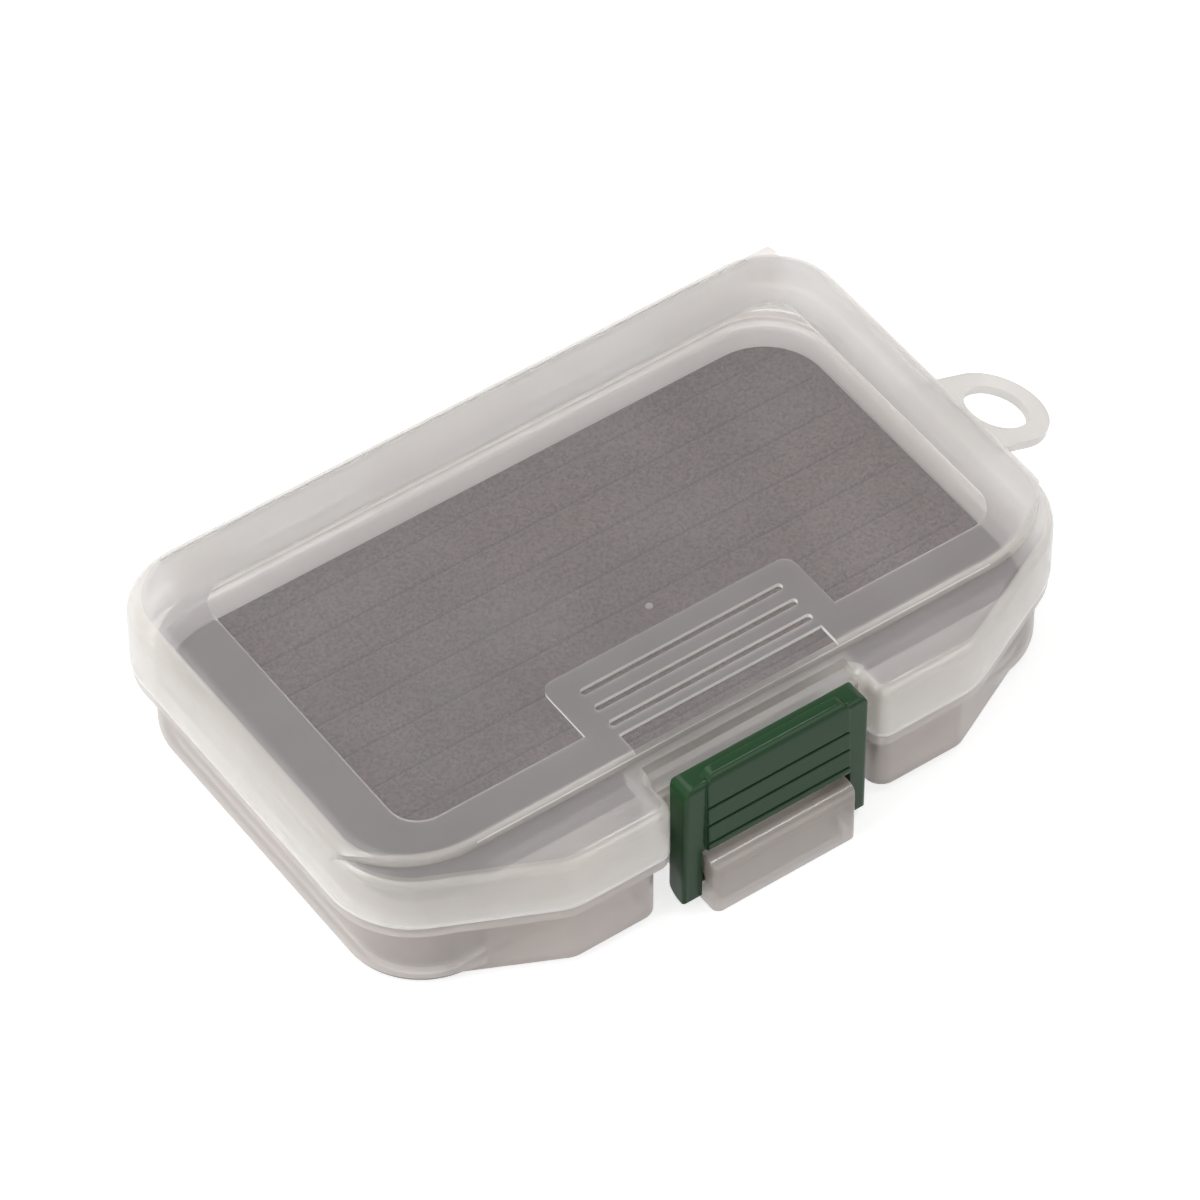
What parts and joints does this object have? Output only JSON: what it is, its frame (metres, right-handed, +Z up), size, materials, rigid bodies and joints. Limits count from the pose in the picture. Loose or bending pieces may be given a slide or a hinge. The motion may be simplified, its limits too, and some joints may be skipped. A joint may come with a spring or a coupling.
{
  "type": "foam lure box",
  "caption": "Slim pocket box for fishing lures, with a slit foam pad in a shallow tray, a hinged clear lid, a swinging front latch and a hanging ring.",
  "frame": {"origin": "centre of the tray's flat underside, without the latch tab, hinge and ring", "axes": "+X along the box to the side with the ring, +Y to the hinge, +Z up"},
  "size_m": [0.101, 0.0638, 0.019],
  "materials": {
    "tray_plastic": "translucent frosted polypropylene",
    "lid_plastic": "translucent polypropylene, clear in the window and frosted round it",
    "latch_plastic": "dark green moulded plastic, semi-gloss",
    "pin_steel": "drawn stainless wire",
    "foam": "fine closed-cell foam, dark grey, with slits",
    "adhesive": "thin adhesive sheet"
  },
  "bodies": {
    "tray": {"base_tray": "tray_plastic", "foam_pad": "foam", "foam_adhesive": "adhesive", "hinge_pin": "pin_steel"},
    "lid": {"lid": "lid_plastic"},
    "latch": {"latch": "latch_plastic"}
  },
  "joints": [
    {"name": "lid_hinge", "type": "hinge", "parent": "tray", "child": "lid", "pos_m": [0, 0.0291, 0.0104], "axis": [-1, 0, 0], "range_deg": [0, 180]},
    {"name": "latch_hinge", "type": "hinge", "parent": "tray", "child": "latch", "pos_m": [0, -0.0295, 0.0034], "axis": [1, 0, 0], "range_deg": [0, 90]}
  ]
}
